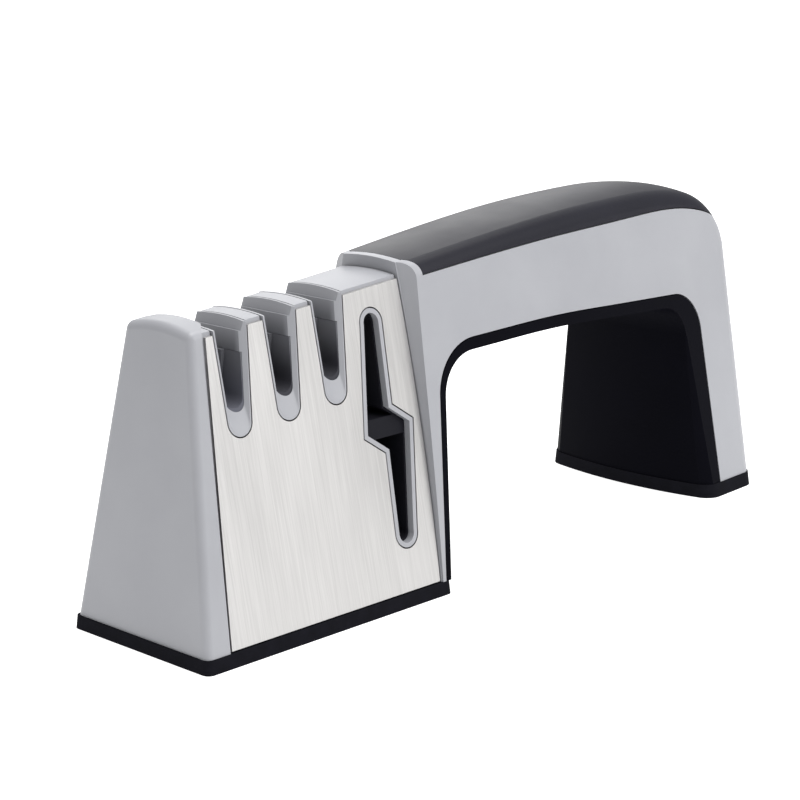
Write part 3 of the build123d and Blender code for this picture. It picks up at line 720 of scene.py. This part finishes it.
class SCENE_OT_sharpener_studio(bpy.types.Operator):
    """Add the floor, the lights and the camera"""

    bl_idname = "scene.sharpener_studio"
    bl_label = "Studio"
    bl_options = {"REGISTER", "UNDO"}

    def execute(self, context):
        settings = context.scene.sharpener_studio
        add_floor(settings)
        add_sky(settings)
        low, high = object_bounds()
        middle = (Vector(low) + Vector(high)) / 2
        add_light("key light", *KEY_LIGHT, middle, settings.key_power)
        add_light("top light", *TOP_LIGHT, middle, settings.top_power)
        add_light("back light", *BACK_LIGHT, middle, settings.back_power)
        context.scene.view_settings.view_transform = "Standard"
        camera_data = bpy.data.cameras.new("photo camera")
        camera_data.lens = settings.lens
        camera = bpy.data.objects.new("photo camera", camera_data)
        camera.location = settings.camera_place
        camera.rotation_euler = settings.camera_turn
        context.scene.collection.objects.link(camera)
        context.scene.camera = camera
        return {"FINISHED"}


def add_floor(settings):
    """A plain pale floor under the pads."""
    mesh = bpy.data.meshes.new("floor")
    sheet = bmesh.new()
    bmesh.ops.create_grid(sheet, x_segments=1, y_segments=1, size=settings.floor_size / 2)
    sheet.to_mesh(mesh)
    sheet.free()
    floor = bpy.data.objects.new("floor", mesh)
    material, tree, shader = start_material("pale floor", FLOOR_ROUGHNESS)
    paper = add_noise(tree, place_pattern(tree), PAPER_SCALE, 3.0)
    light = tuple(settings.floor_colour)
    shader.inputs["Emission Color"].default_value = (1.0, 1.0, 1.0, 1.0)
    shader.inputs["Emission Strength"].default_value = settings.floor_glow
    colours = between_colours(tree, paper, shaded(light, 0.99), light)
    tree.links.new(colours, shader.inputs["Base Color"])
    mesh.materials.append(material)
    bpy.context.scene.collection.objects.link(floor)
    floor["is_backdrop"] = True


def add_sky(settings):
    """Even white surroundings."""
    world = bpy.data.worlds.new("white studio")
    world.use_nodes = True
    background = world.node_tree.nodes["Background"]
    background.inputs["Color"].default_value = (1.0, 1.0, 1.0, 1.0)
    background.inputs["Strength"].default_value = settings.sky_strength
    bpy.context.scene.world = world


def add_light(name, place, size, target, power):
    """A square light that faces a point."""
    data = bpy.data.lights.new(name, "AREA")
    data.shape = "SQUARE"
    data.size = size
    data.energy = power
    light = bpy.data.objects.new(name, data)
    light.location = place
    light.rotation_euler = (target - Vector(place)).to_track_quat("-Z", "Y").to_euler()
    bpy.context.scene.collection.objects.link(light)


class VIEW3D_PT_sharpener(bpy.types.Panel):
    """Lists the sharpener's pieces"""

    bl_label = "Sharpener"
    bl_idname = "VIEW3D_PT_sharpener"
    bl_space_type = "VIEW_3D"
    bl_region_type = "UI"
    bl_category = "Sharpener"

    def draw(self, context):
        for operator in OPERATORS:
            self.layout.operator(operator.bl_idname)


OPERATORS = (
    OBJECT_OT_sharpener_mouldings,
    OBJECT_OT_sharpener_plates,
    OBJECT_OT_sharpener_grip,
    OBJECT_OT_sharpener_pads,
    OBJECT_OT_sharpener_abrasives,
    OBJECT_OT_sharpener_fasteners,
    SCENE_OT_sharpener_studio,
)


def register():
    for settings in SETTINGS.values():
        bpy.utils.register_class(settings)
    for operator in OPERATORS:
        bpy.utils.register_class(operator)
    bpy.utils.register_class(VIEW3D_PT_sharpener)
    for name, settings in SETTINGS.items():
        setattr(bpy.types.Scene, name, PointerProperty(type=settings))


def unregister():
    for name in SETTINGS:
        delattr(bpy.types.Scene, name)
    bpy.utils.unregister_class(VIEW3D_PT_sharpener)
    for operator in reversed(OPERATORS):
        bpy.utils.unregister_class(operator)
    for settings in reversed(SETTINGS.values()):
        bpy.utils.unregister_class(settings)


def main():
    """Builds the scene."""
    register()
    bpy.ops.object.sharpener_mouldings()
    bpy.ops.object.sharpener_plates()
    bpy.ops.object.sharpener_grip()
    bpy.ops.object.sharpener_pads()
    bpy.ops.object.sharpener_abrasives()
    bpy.ops.object.sharpener_fasteners()
    bpy.ops.scene.sharpener_studio()


if __name__ == "__main__":
    main()
